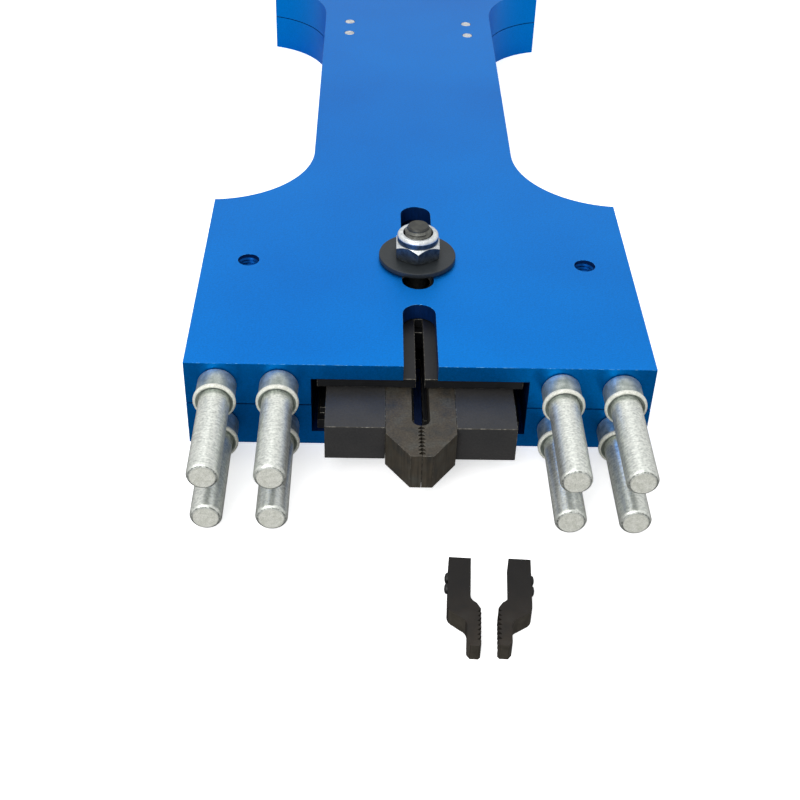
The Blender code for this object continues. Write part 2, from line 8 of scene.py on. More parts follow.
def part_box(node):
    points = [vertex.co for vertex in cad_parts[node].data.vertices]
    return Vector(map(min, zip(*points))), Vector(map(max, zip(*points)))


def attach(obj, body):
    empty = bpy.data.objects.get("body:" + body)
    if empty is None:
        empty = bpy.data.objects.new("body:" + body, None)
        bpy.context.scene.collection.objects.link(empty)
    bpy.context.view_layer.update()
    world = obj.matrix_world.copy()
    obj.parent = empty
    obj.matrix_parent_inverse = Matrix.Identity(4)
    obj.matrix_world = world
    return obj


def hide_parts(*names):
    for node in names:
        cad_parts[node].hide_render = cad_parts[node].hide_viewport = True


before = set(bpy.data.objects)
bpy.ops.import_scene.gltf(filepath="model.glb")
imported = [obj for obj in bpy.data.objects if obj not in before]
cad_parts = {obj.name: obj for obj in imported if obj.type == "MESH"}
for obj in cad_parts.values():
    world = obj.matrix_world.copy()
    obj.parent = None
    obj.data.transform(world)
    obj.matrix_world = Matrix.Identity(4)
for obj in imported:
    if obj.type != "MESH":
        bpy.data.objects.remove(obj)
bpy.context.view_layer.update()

scene = bpy.context.scene


# --- Camera, bench and light --------------------------------------------------------------------------------
# The bending head lies on a plain white bench under a pale studio tent: bright overhead and round the
# horizon, darker low down in front, so that the end faces of the metal fall into shade.

FRONT_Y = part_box("upper_body_plate")[0][1]
LENS_MM = 59.0
LOOK_DOWN = math.radians(38.455)
TURN = math.radians(1.888)
LEAN = math.radians(2.066)
# Elevation as the sine of its angle, from -1 straight down to 1 overhead, and how bright the tent is there.
TENT = ((-1.0, 0.08), (-0.62, 0.12), (-0.30, 0.42), (0.0, 0.70), (0.40, 0.75), (0.75, 1.02), (1.0, 1.05))

scene.view_settings.view_transform = "Standard"
lens = bpy.data.cameras.new("camera")
lens.lens = LENS_MM
lens.sensor_width = 36
camera = bpy.data.objects.new("camera", lens)
aim = Matrix.Rotation(-TURN, 4, "Z") @ Matrix.Rotation(math.pi / 2 - LOOK_DOWN, 4, "X")
stand = Matrix.Translation((-0.0149, FRONT_Y - 0.2859, 0.2434))
camera.matrix_world = stand @ aim @ Matrix.Rotation(LEAN, 4, "Z")
scene.collection.objects.link(camera)
scene.camera = camera


def linear(colour):
    """An sRGB hex colour as linear red, green, blue and full opacity."""
    parts = [int(colour[i:i + 2], 16) / 255 for i in (0, 2, 4)]
    return (*[c / 12.92 if c <= 0.04045 else ((c + 0.055) / 1.055) ** 2.4 for c in parts], 1.0)


def add_node(tree, kind, settings=None, inputs=None, links=None):
    """Adds a node, sets its properties and inputs, and links inputs to (node, output) pairs."""
    made = tree.nodes.new(kind)
    for name, value in (settings or {}).items():
        setattr(made, name, value)
    for name, value in (inputs or {}).items():
        made.inputs[name].default_value = value
    for name, (source, output) in (links or {}).items():
        tree.links.new(source.outputs[output], made.inputs[name])
    return made


def fill_ramp(ramp_node, stops):
    """Sets a colour ramp from (position, colour) pairs."""
    ramp = ramp_node.color_ramp
    while len(ramp.elements) < len(stops):
        ramp.elements.new(0.5)
    for element, (position, colour) in zip(ramp.elements, stops):
        element.position = position
        element.color = colour


world = bpy.data.worlds.new("studio_tent")
world.use_nodes = True
scene.world = world
tent = world.node_tree
direction = add_node(tent, "ShaderNodeTexCoord")
split = add_node(tent, "ShaderNodeSeparateXYZ", links={"Vector": (direction, "Generated")})
height = add_node(tent, "ShaderNodeMapRange", inputs={"From Min": -1.0}, links={"Value": (split, "Z")})
glow = add_node(tent, "ShaderNodeValToRGB", links={"Fac": (height, "Result")})
fill_ramp(glow, [((sine + 1) / 2, (bright, bright, bright, 1.0)) for sine, bright in TENT])
tent.links.new(glow.outputs["Color"], tent.nodes["Background"].inputs["Color"])


def bench_panel(name, x, y, z, colour, brightness):
    """A flat white laminate panel that lies on the bench and gives back some light of its own."""
    middle = ((x[0] + x[1]) / 2, (y[0] + y[1]) / 2, z)
    bpy.ops.object.select_all(action="DESELECT")
    bpy.ops.mesh.primitive_plane_add(size=1, location=middle)
    panel = bpy.context.object
    panel.name = name
    panel.scale = (x[1] - x[0], y[1] - y[0], 1)
    bpy.ops.object.transform_apply()
    laminate = bpy.data.materials.new("white_laminate")
    laminate.use_nodes = True
    shader = laminate.node_tree.nodes["Principled BSDF"]
    shader.inputs["Base Color"].default_value = linear(colour)
    shader.inputs["Roughness"].default_value = 0.9
    shader.inputs["Specular IOR Level"].default_value = 0.1
    shader.inputs["Emission Color"].default_value = (1, 1, 1, 1)
    shader.inputs["Emission Strength"].default_value = brightness
    panel.data.materials.append(laminate)
    return panel


# The bench fills the view without lighting the metal; a bounce card behind the head lights the waist's walls.
bench = bench_panel("bench_top", (-60, 60), (-60, 60), 0, "f7f7f7", 0.55)
bench.visible_diffuse = False
bench.visible_glossy = False
card = bench_panel("bounce_card", (-0.5, 0.5), (FRONT_Y + 0.06, 0.9), -0.0005, "e0e0e0", 0.07)
card.visible_camera = False


def soft_box(name, place, aim_at, size, watts):
    """A square studio light, turned to face a point."""
    lamp = bpy.data.lights.new(name, "AREA")
    lamp.size = size
    lamp.energy = watts
    holder = bpy.data.objects.new(name, lamp)
    holder.location = place
    holder.rotation_euler = (Vector(aim_at) - Vector(place)).to_track_quat("-Z", "Y").to_euler()
    scene.collection.objects.link(holder)


soft_box("overhead_soft_box", (-0.25, 0.45, 1.3), (0, -0.05, 0), 0.9, 2.0)
soft_box("front_soft_box", (-0.42, -1.02, 0.72), (0, -0.15, 0), 0.7, 8.0)


# --- Body plates --------------------------------------------------------------------------------------------
# Two plates milled from aluminium bar, bead-blasted and anodised blue, screwed together from below. The waist
# is milled out on each side, a pocket for the clamp lies between them, and the upper one has an open and a
# closed slot. Their edges are broken, and the chamfers are painted paler: partly dye rubbed thin by handling,
# partly painted highlight. The pocket, slots and holes are painted navy, as painted shade.

BODY_LENGTH = 0.350
BODY_HEIGHT = 0.028
PARTING_Z = 0.014
PARTING_GAP = 0.00015
HEAD_HALF = 0.065
NECK_HALF = 0.034
FAR_HALF = 0.0573
WAIST = (0.0885, 0.27523)
NEAR_ARC = 0.034
FAR_ARC = 0.032
FAR_CORNER = 0.008
POCKET_HALF = 0.0302
POCKET = (-0.01, 0.088)
POCKET_Z = (0.0045, 0.0231)
SLOT_HALF = 0.00475
OPEN_SLOT = (-0.01, 0.030)
CLOSED_SLOT = (0.038, 0.086)
PIN_X = (-0.056, -0.039, 0.039, 0.056)
PIN_Z = {"upper": 0.021, "lower": 0.007}
PIN_SEAT = 0.0043
PIN_SEAT_DEPTH = 0.0205
OVERCUT = 0.01
PLATE_SCREWS = {
    "near_left": (-0.0512, 0.0525),
    "near_right": (0.0512, 0.0525),
    "far_left": (-0.044, 0.316),
    "far_right": (0.044, 0.316),
}
TAPPED_RADIUS = 0.0032
TAP_PITCH = 0.0010
TAP_DEPTH = 0.0005
TAP_LOW = 0.0230
TAP_TURNS = 4
SCREW_TOP = 0.0225
COUNTERBORE = (0.0053, 0.0065)
DOWELS = {
    "left_front": (-0.024, 0.2250),
    "left_rear": (-0.024, 0.2365),
    "right_front": (0.024, 0.2250),
    "right_rear": (0.024, 0.2365),
}
DOWEL_RADIUS = 0.002
DOWEL_SEAT = 0.0028
EDGE_BREAK = 0.00032


def per_mm(size):
    """Texture scale for a pattern whose features are that many millimetres across."""
    return 1000.0 / size


def add_noise(tree, size, detail=2.0, stretch=None):
    """Noise with features of a real size in millimetres, on the piece's own coordinates."""
    place = add_node(tree, "ShaderNodeTexCoord")
    pattern = (place, "Object")
    if stretch:
        drawn_out = add_node(tree, "ShaderNodeMapping", inputs={"Scale": stretch}, links={"Vector": pattern})
        pattern = (drawn_out, "Vector")
    settings = {"Scale": per_mm(size), "Detail": detail}
    return add_node(tree, "ShaderNodeTexNoise", inputs=settings, links={"Vector": pattern})


def finish_metal(
    name, patches, grain, colours, roughness, metallic=1.0, depth_mm=0.03, bump=0.35, speck="dadada"
):
    """A metal surface: its colours follow one noise, and its roughness and relief follow a finer one."""
    made = bpy.data.materials.new(name)
    made.use_nodes = True
    tree = made.node_tree
    shader = tree.nodes["Principled BSDF"]
    shader.inputs["Metallic"].default_value = metallic
    broad = add_noise(tree, **patches)
    fine = add_noise(tree, **grain)
    tint = add_node(tree, "ShaderNodeValToRGB", links={"Fac": (broad, "Fac")})
    fill_ramp(tint, [(position, linear(colour)) for position, colour in colours])
    dots = add_node(tree, "ShaderNodeValToRGB", links={"Fac": (fine, "Fac")})
    fill_ramp(dots, [(0.30, linear(speck)), (0.70, linear("ffffff"))])
    multiply = {"data_type": "RGBA", "blend_type": "MULTIPLY"}
    mixed = add_node(tree, "ShaderNodeMix", multiply, {"Factor": 1.0})
    tree.links.new(tint.outputs["Color"], mixed.inputs[6])
    tree.links.new(dots.outputs["Color"], mixed.inputs[7])
    tree.links.new(mixed.outputs[2], shader.inputs["Base Color"])
    ends = {"To Min": roughness[0], "To Max": roughness[1]}
    rough = add_node(tree, "ShaderNodeMapRange", inputs=ends, links={"Value": (fine, "Fac")})
    tree.links.new(rough.outputs["Result"], shader.inputs["Roughness"])
    relief = {"Strength": bump, "Distance": depth_mm / 1000.0}
    raised = add_node(tree, "ShaderNodeBump", inputs=relief, links={"Height": (fine, "Fac")})
    tree.links.new(raised.outputs["Normal"], shader.inputs["Normal"])
    return made


# Blasting with fine beads gives a satin face with a grainy sparkle, drawn a little coarser than real; the dye
# is clouded by a shade over the length of the bar.
anodised_blue = finish_metal(
    "blue_anodised_bead_blasted_aluminium",
    {"size": 60.0},
    {"size": 0.45, "detail": 3.0},
    ((0.3, "007ad8"), (0.7, "0084e3")),
    (0.36, 0.50),
    bump=0.25,
    speck="e8e8e8",
)
# Along the edges the dye is rubbed to short pale dashes; the pale blue is partly this wear and partly a
# painted highlight on the chamfers.
blue_edge_wear_and_highlight = finish_metal(
    "blue_anodised_edge_wear_and_painted_highlight",
    {"size": 0.9, "detail": 4.0},
    {"size": 0.3},
    ((0.48, "0a72d0"), (0.70, "6fbcf0")),
    (0.35, 0.48),
)
# Slots, pocket and holes were milled after blasting; they are painted a deeper navy, as painted shade in the
# recesses.
recess_shade_blue = finish_metal(
    "blue_anodised_painted_recess_shade",
    {"size": 3.0},
    {"size": 0.4, "stretch": (1.0, 1.0, 0.1)},
    ((0.3, "052b62"), (0.7, "063270")),
    (0.30, 0.42),
    metallic=0.5,
)
# The tapped thread is sharp-edged and shows as fine blue turns in the dark of its hole; its blue is painted
# darker than the plates' as painted shade.
hole_shade_thread_blue = finish_metal(
    "blue_anodised_thread_painted_hole_shade",
    {"size": 1.5},
    {"size": 0.3},
    ((0.35, "063a7c"), (0.65, "0b4c98")),
    (0.30, 0.42),
)


def only(piece):
    """Makes a piece the only one selected."""
    bpy.ops.object.select_all(action="DESELECT")
    piece.select_set(True)
    bpy.context.view_layer.objects.active = piece


def block(name, x, y, z):
    """A rectangular block between two bounds on each axis; y is measured from the body's front face."""
    bounds = (x, (y[0] + FRONT_Y, y[1] + FRONT_Y), z)
    bpy.ops.object.select_all(action="DESELECT")
    bpy.ops.mesh.primitive_cube_add(size=1, location=[(low + high) / 2 for low, high in bounds])
    piece = bpy.context.object
    piece.name = name
    piece.scale = [high - low for low, high in bounds]
    bpy.ops.object.transform_apply()
    return piece


def rod(name, radius, place, low, high, sides=48):
    """An upright cylinder; its place along y is measured from the body's front face."""
    bpy.ops.object.select_all(action="DESELECT")
    middle = (place[0], place[1] + FRONT_Y, (low + high) / 2)
    bpy.ops.mesh.primitive_cylinder_add(vertices=sides, radius=radius, depth=high - low, location=middle)
    piece = bpy.context.object
    piece.name = name
    bpy.ops.object.transform_apply()
    return piece


def pick(piece, kind, test):
    """Goes into edit mode, selecting only what passes a test on its middle and its direction."""
    only(piece)
    bpy.ops.object.mode_set(mode="EDIT")
    bpy.ops.mesh.select_mode(type=kind)
    bpy.ops.mesh.select_all(action="DESELECT")
    shape = bmesh.from_edit_mesh(piece.data)
    if kind == "EDGE":
        for edge in shape.edges:
            ends = [corner.co for corner in edge.verts]
            edge.select_set(test((ends[0] + ends[1]) / 2, (ends[1] - ends[0]).normalized()))
    else:
        for face in shape.faces:
            face.select_set(test(face.calc_center_median(), face.normal))
    bmesh.update_edit_mesh(piece.data)


def round_corners(piece, radius, test, segments=24):
    """Rounds the upright edges that pass a test on their middle, as an end mill leaves them."""
    pick(piece, "EDGE", lambda middle, along: abs(along.z) > 0.9 and test(middle))
    bpy.ops.mesh.bevel(offset=radius, segments=segments, affect="EDGES", clamp_overlap=False)
    bpy.ops.object.mode_set(mode="OBJECT")


def machine(piece, tool, operation="DIFFERENCE"):
    """Cuts a piece with a tool, or joins or keeps their common part, and takes the tool away."""
    only(piece)
    change = piece.modifiers.new("machining", "BOOLEAN")
    change.operation = operation
    change.solver = "EXACT"
    change.object = tool
    bpy.ops.object.modifier_apply(modifier=change.name)
    bpy.data.objects.remove(tool)


def break_edges(piece, width, angle=35, segments=2, edge_slot=1):
    """Chamfers every sharp edge, and shades the piece smooth with its broad faces kept flat."""
    only(piece)
    chamfer = piece.modifiers.new("broken_edges", "BEVEL")
    chamfer.width = width
    chamfer.segments = segments
    chamfer.limit_method = "ANGLE"
    chamfer.angle_limit = math.radians(angle)
    chamfer.material = edge_slot
    bpy.ops.object.modifier_apply(modifier=chamfer.name)
    smooth(piece, 50)


def smooth(piece, angle):
    """Shades a piece smooth below an angle, with normals weighted by the faces' areas."""
    only(piece)
    bpy.ops.object.shade_smooth_by_angle(angle=math.radians(angle))
    weighted = piece.modifiers.new("flat_faces", "WEIGHTED_NORMAL")
    weighted.keep_sharp = True
    weighted.weight = 100
    bpy.ops.object.modifier_apply(modifier=weighted.name)


def wear_finishes(piece, *finishes):
    """Gives a piece its materials, in slot order."""
    piece.data.materials.clear()
    for finish in finishes:
        piece.data.materials.append(finish)


def finish_faces(piece, slot, test):
    """Gives the faces that pass a test the finish in one of the piece's slots."""
    pick(piece, "FACE", test)
    piece.active_material_index = slot
    bpy.ops.object.material_slot_assign()
    bpy.ops.object.mode_set(mode="OBJECT")


def thread(name, radius, pitch, depth, place, low, turns):
    """A ridge of diamond section wound about an upright axis, half of it buried in the wall it stands on."""
    bpy.ops.object.select_all(action="DESELECT")
    bpy.ops.mesh.primitive_circle_add(
        vertices=4, radius=1, location=(radius, 0, low), rotation=(math.pi / 2, 0, 0)
    )
    ridge = bpy.context.object
    ridge.name = name
    ridge.scale = (depth, pitch * 0.48, 1)
    bpy.ops.object.transform_apply()
    helix = ridge.modifiers.new("helix", "SCREW")
    helix.screw_offset = pitch
    helix.iterations = turns
    helix.steps = 32
    helix.render_steps = 32
    helix.use_merge_vertices = False
    bpy.ops.object.modifier_apply(modifier=helix.name)
    bpy.ops.object.mode_set(mode="EDIT")
    bpy.ops.mesh.select_all(action="SELECT")
    bpy.ops.mesh.remove_doubles(threshold=0.000001)
    bpy.ops.mesh.fill_holes(sides=4)
    bpy.ops.mesh.normals_make_consistent(inside=False)
    bpy.ops.object.mode_set(mode="OBJECT")
    ridge.location = (place[0], place[1] + FRONT_Y, 0)
    bpy.ops.object.transform_apply()
    bpy.ops.object.shade_smooth_by_angle(angle=math.radians(30))
    return ridge


def join(*pieces):
    """Joins pieces into the first one."""
    bpy.ops.object.select_all(action="DESELECT")
    for piece in pieces:
        piece.select_set(True)
    bpy.context.view_layer.objects.active = pieces[0]
    bpy.ops.object.join()


def fit(piece, body, slot, *nodes):
    """Fixes a finished piece to its body and hides the imported parts it stands for."""
    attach(piece, body)
    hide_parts(*nodes)


def plate_blank(name, low, high):
    """The dog-bone outline: a bar with its waist milled out and its far end narrowed and rounded."""
    through = (low - OVERCUT, high + OVERCUT)
    plate = block(name, (-HEAD_HALF, HEAD_HALF), (0, BODY_LENGTH), (low, high))
    for side in (-1, 1):
        outside = HEAD_HALF + OVERCUT
        waist = block("waist_cutter", sorted((side * NECK_HALF, side * outside)), WAIST, through)
        middle = FRONT_Y + sum(WAIST) / 2
        round_corners(waist, NEAR_ARC, lambda m: abs(m.x) < NECK_HALF + 0.001 and m.y < middle, 40)
        round_corners(waist, FAR_ARC, lambda m: abs(m.x) < NECK_HALF + 0.001 and m.y > middle + 0.05, 40)
        machine(plate, waist)
        far = (WAIST[1] - FAR_ARC, BODY_LENGTH + OVERCUT)
        machine(plate, block("far_cutter", sorted((side * FAR_HALF, side * outside)), far, through))
    far_end = FRONT_Y + BODY_LENGTH - 0.001
    round_corners(plate, FAR_CORNER, lambda m: m.y > far_end, 12)
    machine(plate, block("pocket_cutter", (-POCKET_HALF, POCKET_HALF), POCKET, POCKET_Z))
    return plate


def slot_cutter(span, rounded_front):
    """An end mill's path through the upper plate: a slot with round ends."""
    cutter = block("slot_cutter", (-SLOT_HALF, SLOT_HALF), span, (POCKET_Z[1] - 0.002, BODY_HEIGHT + OVERCUT))
    middle = FRONT_Y + sum(span) / 2
    round_corners(cutter, SLOT_HALF - 0.00001, lambda m: rounded_front or m.y > middle, 16)
    return cutter


def milled(centre, normal):
    """Whether a face was milled inside the body, in the pocket, slots and holes, where the painted shade goes.
    """
    y = centre.y - FRONT_Y
    if abs(centre.x) < POCKET_HALF + 0.0001 and 0.0001 < y < POCKET[1] + 0.0001:
        return 0.001 < centre.z < BODY_HEIGHT - 0.0001 and abs(centre.z - PARTING_Z) > 0.0005
    holes = list(PLATE_SCREWS.values()) + list(DOWELS.values())
    return abs(normal.z) < 0.5 and any(math.hypot(centre.x - x, y - hole) < 0.006 for x, hole in holes)


halves = {"upper": (PARTING_Z + PARTING_GAP, BODY_HEIGHT), "lower": (0.0, PARTING_Z - PARTING_GAP)}
for half, (low, high) in halves.items():
    plate = plate_blank(f"{half}_plate", low, high)
    if half == "upper":
        machine(plate, slot_cutter(OPEN_SLOT, False))
        machine(plate, slot_cutter(CLOSED_SLOT, True))
    for x in PIN_X:
        seat = rod("pin_drill", PIN_SEAT, (x, -FRONT_Y), -PIN_SEAT_DEPTH, OVERCUT)
        seat.rotation_euler = (math.pi / 2, 0, 0)
        only(seat)
        bpy.ops.object.transform_apply()
        seat.location = (0, FRONT_Y, PIN_Z[half])
        bpy.ops.object.transform_apply()
        machine(plate, seat)
    for name, place in PLATE_SCREWS.items():
        top = BODY_HEIGHT + OVERCUT if name.startswith("near") else SCREW_TOP + 0.0003
        machine(plate, rod("tap_drill", TAPPED_RADIUS, place, -OVERCUT, top))
        if half == "lower":
            machine(plate, rod("counterbore", COUNTERBORE[0], place, -OVERCUT, COUNTERBORE[1]))
    for place in DOWELS.values():
        drill = rod("dowel_drill", DOWEL_RADIUS + 0.00002, place, DOWEL_SEAT, BODY_HEIGHT + OVERCUT, 32)
        machine(plate, drill)
    # The chamfers take the pale edge paint, partly wear and partly painted highlight; the milled faces take
    # the painted recess shade.
    wear_finishes(plate, anodised_blue, blue_edge_wear_and_highlight, recess_shade_blue)
    finish_faces(plate, 2, milled)
    break_edges(plate, EDGE_BREAK, segments=3)
    if half == "upper":
        for name in ("near_left", "near_right"):
            place = PLATE_SCREWS[name]
            # The thread takes the darker blue of the painted hole shade.
            ridge = thread("tapped_thread", TAPPED_RADIUS, TAP_PITCH, TAP_DEPTH, place, TAP_LOW, TAP_TURNS)
            wear_finishes(ridge, hole_shade_thread_blue)
            join(plate, ridge)
    fit(plate, "body", "body", f"{half}_body_plate")


# --- Bending pins and sleeves -------------------------------------------------------------------------------
# Eight turned steel pins pressed into the front face, each with a rimmed sleeve round its root. Barrel zinc
# plating leaves a pale, finely mottled skin over the turning rings, and the faced ends are dull and paler.

PIN_RADIUS = 0.00425
PIN_ROOT = -0.0195
PIN_REACH = 0.0387
# Each profile runs in (radius, distance out from the body's front face).
PIN_PROFILE = (
    (PIN_RADIUS - 0.0003, PIN_ROOT),
    (PIN_RADIUS, PIN_ROOT + 0.0003),
    (PIN_RADIUS, 0.004),
    (PIN_RADIUS, 0.015),
    (PIN_RADIUS, 0.026),
    (PIN_RADIUS, PIN_REACH - 0.0010),
    (PIN_RADIUS - 0.00018, PIN_REACH - 0.0006),
    (PIN_RADIUS - 0.00048, PIN_REACH - 0.00025),
    (PIN_RADIUS - 0.00062, PIN_REACH - 0.0002),
    (PIN_RADIUS - 0.00075, PIN_REACH - 0.00005),
    (PIN_RADIUS - 0.00095, PIN_REACH),
)
SLEEVE_RIM_LOW = 0.0072
SLEEVE_ROOT_RADIUS = 0.0053
SLEEVE_PROFILE = (
    (PIN_RADIUS + 0.0001, 0.0003),
    (SLEEVE_ROOT_RADIUS, 0.0003),
    (0.0054, 0.0005),
    (0.0054, 0.0068),
    (0.00548, 0.0071),
    (0.00575, 0.00725),
    (0.00585, 0.0075),
    (0.00585, 0.0079),
    (0.00575, 0.0082),
    (0.00550, 0.0084),
    (0.00515, 0.0084),
    (0.00490, 0.0082),
    (0.00470, 0.0079),
    (PIN_RADIUS + 0.0001, 0.0077),
)


def turned(name, profile, sides=64, ring=False):
    """A lathe-turned piece about Z: a circle of edges drawn out along (radius, height) points, then closed."""
    radius, height = profile[0]
    bpy.ops.object.select_all(action="DESELECT")
    bpy.ops.mesh.primitive_circle_add(vertices=sides, radius=radius, location=(0, 0, height))
    piece = bpy.context.object
    piece.name = name
    bpy.ops.object.transform_apply()
    bpy.ops.object.mode_set(mode="EDIT")
    bpy.ops.mesh.select_mode(type="EDGE")
    bpy.ops.mesh.select_all(action="SELECT")
    for wide, high in [*profile[1:], *(profile[:1] if ring else ())]:
        bpy.ops.mesh.extrude_edges_move(TRANSFORM_OT_translate={"value": (0, 0, high - height)})
        bpy.ops.transform.resize(value=(wide / radius, wide / radius, 1), center_override=(0, 0, high))
        radius, height = wide, high
    bpy.ops.mesh.select_all(action="SELECT")
    bpy.ops.mesh.remove_doubles(threshold=0.000001)
    if not ring:
        bpy.ops.mesh.fill_holes(sides=0)
    bpy.ops.mesh.normals_make_consistent(inside=False)
    bpy.ops.object.mode_set(mode="OBJECT")
    return piece


def settle(piece, place=(0, 0, 0), turn=(0, 0, 0)):
    """Turns and moves a piece, and applies that to its mesh; y is from the body's front face."""
    only(piece)
    piece.rotation_euler = [math.radians(angle) for angle in turn]
    piece.location = (place[0], place[1] + FRONT_Y, place[2])
    bpy.ops.object.transform_apply()


def placed_copy(pattern, name, place, turn=(0, 0, 0)):
    """A copy of a pattern at the origin, with its own mesh, turned and moved to its place."""
    twin = bpy.data.objects.new(name, pattern.data.copy())
    scene.collection.objects.link(twin)
    settle(twin, place, turn)
    return twin


# Fine turning rings round each pin under mottled zinc: pale and grainy, with a soft sheen along it. The rings
# are drawn coarser than real, so that they show.
zinc_rings = finish_metal(
    "zinc_plated_turned_steel",
    {"size": 0.7, "detail": 5.0},
    {"size": 0.42, "detail": 3.0, "stretch": (0.22, 1.0, 0.22)},
    ((0.32, "cdd2cc"), (0.60, "f4f7f0")),
    (0.30, 0.48),
    metallic=0.85,
    depth_mm=0.10,
    bump=0.6,
    speck="e2e2e2",
)
# The sleeves are cut from drawn tube: the same plating, smoother and a shade greyer.
zinc_sleeve = finish_metal(
    "zinc_plated_tube",
    {"size": 2.0, "detail": 4.0},
    {"size": 0.3},
    ((0.35, "98a19b"), (0.65, "c3cac3")),
    (0.36, 0.50),
    metallic=0.75,
)
# Faced ends are rough from the tool and take a dull, chalky white plating. On the sleeves' rims the same white
# is a painted highlight.
faced_zinc_and_rim_highlight = finish_metal(
    "zinc_faced_end_and_painted_rim_highlight",
    {"size": 1.2, "detail": 4.0},
    {"size": 0.35, "detail": 3.0},
    ((0.32, "d8dace"), (0.62, "eeefe6")),
    (0.55, 0.70),
    metallic=0.25,
)
# The rounded corner of each pin is handled most and has gone a patchy grey.
zinc_tarnish = finish_metal(
    "tarnished_zinc_corner",
    {"size": 0.6, "detail": 4.0},
    {"size": 0.3},
    ((0.40, "7c817b"), (0.60, "d5d9d2")),
    (0.45, 0.60),
    metallic=0.7,
)

pin_pattern = turned("pin_pattern", PIN_PROFILE)
wear_finishes(pin_pattern, zinc_rings, faced_zinc_and_rim_highlight, zinc_tarnish)
finish_faces(pin_pattern, 1, lambda centre, normal: centre.z > PIN_REACH - 0.00001)
finish_faces(pin_pattern, 2, lambda centre, normal: PIN_REACH - 0.00042 < centre.z < PIN_REACH - 0.0001)
sleeve_pattern = turned("sleeve_pattern", SLEEVE_PROFILE, ring=True)
wear_finishes(sleeve_pattern, zinc_sleeve, faced_zinc_and_rim_highlight)
# The sleeves' rims take the chalky white as a painted highlight.
finish_faces(
    sleeve_pattern,
    1,
    lambda centre, normal: centre.z > SLEEVE_RIM_LOW and math.hypot(centre.x, centre.y) > SLEEVE_ROOT_RADIUS,
)
for pattern in (pin_pattern, sleeve_pattern):
    smooth(pattern, 40)
    settle(pattern, (0, -FRONT_Y, 0), (90, 0, 0))
for row, z in PIN_Z.items():
    for x, place in zip(PIN_X, ("left_outer", "left_inner", "right_inner", "right_outer")):
        for kind, pattern in (("pin", pin_pattern), ("sleeve", sleeve_pattern)):
            piece = placed_copy(pattern, f"{row}_{place}_{kind}", (x, 0, z))
            fit(piece, "body", "zinc", f"{kind}_{row}_{place}")
for pattern in (pin_pattern, sleeve_pattern):
    bpy.data.objects.remove(pattern)


# --- Jaws ---------------------------------------------------------------------------------------------------
# Two hardened tool-steel jaws, wire-cut with a throat and a fishbone of saw teeth, ground on the nose and
# blackened to a warm brown-black. Their edges are painted grey in short lengths: partly rubbed back by
# handling, partly painted highlight.

CLAMP_Z = (0.0084, 0.0194)
JAW_FACE = 0.00004
JAW_OUTER = 0.00955
JAW_SPAN = (-0.0275, 0.012)
NOSE_HALF = 0.003
SHOULDER = (0.0093, -0.0186)
THROAT_HALF = 0.00245
THROAT_FRONT = -0.0149
TOOTH_PITCH = 0.00148
TOOTH_DEPTH = 0.00105
TOOTH_COUNT = 8
NOTCH_RADIUS = 0.0012
NOTCH_LEAN = 12.8
NOTCH_PHASE = 0.42
TEETH_MARGIN = 0.0004

# Wire cutting leaves fine upright lines, and the oxide over them is dull, uneven and brownish.
jaw_black = finish_metal(
    "brown_black_oxide_tool_steel",
    {"size": 5.0, "detail": 4.0},
    {"size": 0.6, "detail": 3.0, "stretch": (1.0, 1.0, 0.06)},
    ((0.32, "3f3d38"), (0.48, "4c453a"), (0.66, "504e47")),
    (0.45, 0.62),
    metallic=0.35,
    depth_mm=0.06,
    speck="b8b8b8",
)
# Handled corners are painted grey in short lengths: partly rubbed to bare steel, partly painted highlight.
black_edge_wear_and_highlight = finish_metal(
    "black_oxide_edge_wear_and_painted_highlight",
    {"size": 1.2, "detail": 4.0},
    {"size": 0.3},
    ((0.45, "45423c"), (0.68, "8d8a80")),
    (0.35, 0.50),
    metallic=0.6,
)


def mirror_twin(piece, name):
    """A mirror image across the middle plane, with its own mesh and its faces turned outwards."""
    twin = bpy.data.objects.new(name, piece.data.copy())
    scene.collection.objects.link(twin)
    only(twin)
    twin.scale = (-1, 1, 1)
    bpy.ops.object.transform_apply()
    bpy.ops.object.mode_set(mode="EDIT")
    bpy.ops.mesh.select_all(action="SELECT")
    bpy.ops.mesh.normals_make_consistent(inside=False)
    bpy.ops.object.mode_set(mode="OBJECT")
    return twin


def notch_centre(apex, start, tooth):
    """The middle of the three-sided wire path that cuts one tooth, from how deep its apex lies."""
    inward = math.radians(150 + NOTCH_LEAN)
    along = start + (tooth + NOTCH_PHASE) * TOOTH_PITCH
    return apex + NOTCH_RADIUS * math.cos(inward), along + NOTCH_RADIUS * math.sin(inward)


jaw = block("right_jaw", (JAW_FACE, JAW_OUTER), JAW_SPAN, CLAMP_Z)
through = (CLAMP_Z[0] - 0.002, CLAMP_Z[1] + 0.002)
nose_lean = -math.degrees(math.atan2(SHOULDER[0] - NOSE_HALF, SHOULDER[1] - JAW_SPAN[0]))
nose_cutter = block("nose_cutter", (0, 0.02), (-FRONT_Y - 0.03, -FRONT_Y + 0.03), through)
settle(nose_cutter, (NOSE_HALF, JAW_SPAN[0], 0), (0, 0, nose_lean))
machine(jaw, nose_cutter)
throat_centre = THROAT_FRONT + THROAT_HALF
machine(jaw, rod("throat_drill", THROAT_HALF, (0, throat_centre), *through))
machine(jaw, block("throat_cutter", (-0.002, THROAT_HALF), (throat_centre, 0.02), through))
teeth_start = THROAT_FRONT - TOOTH_COUNT * TOOTH_PITCH - TEETH_MARGIN
for tooth in range(TOOTH_COUNT):
    notch = rod("tooth_cutter", NOTCH_RADIUS, (0, -FRONT_Y), *through, sides=3)
    settle(notch, (*notch_centre(JAW_FACE + TOOTH_DEPTH, teeth_start, tooth), 0), (0, 0, NOTCH_LEAN))
    machine(jaw, notch)
wear_finishes(jaw, jaw_black, black_edge_wear_and_highlight)
break_edges(jaw, 0.00012)
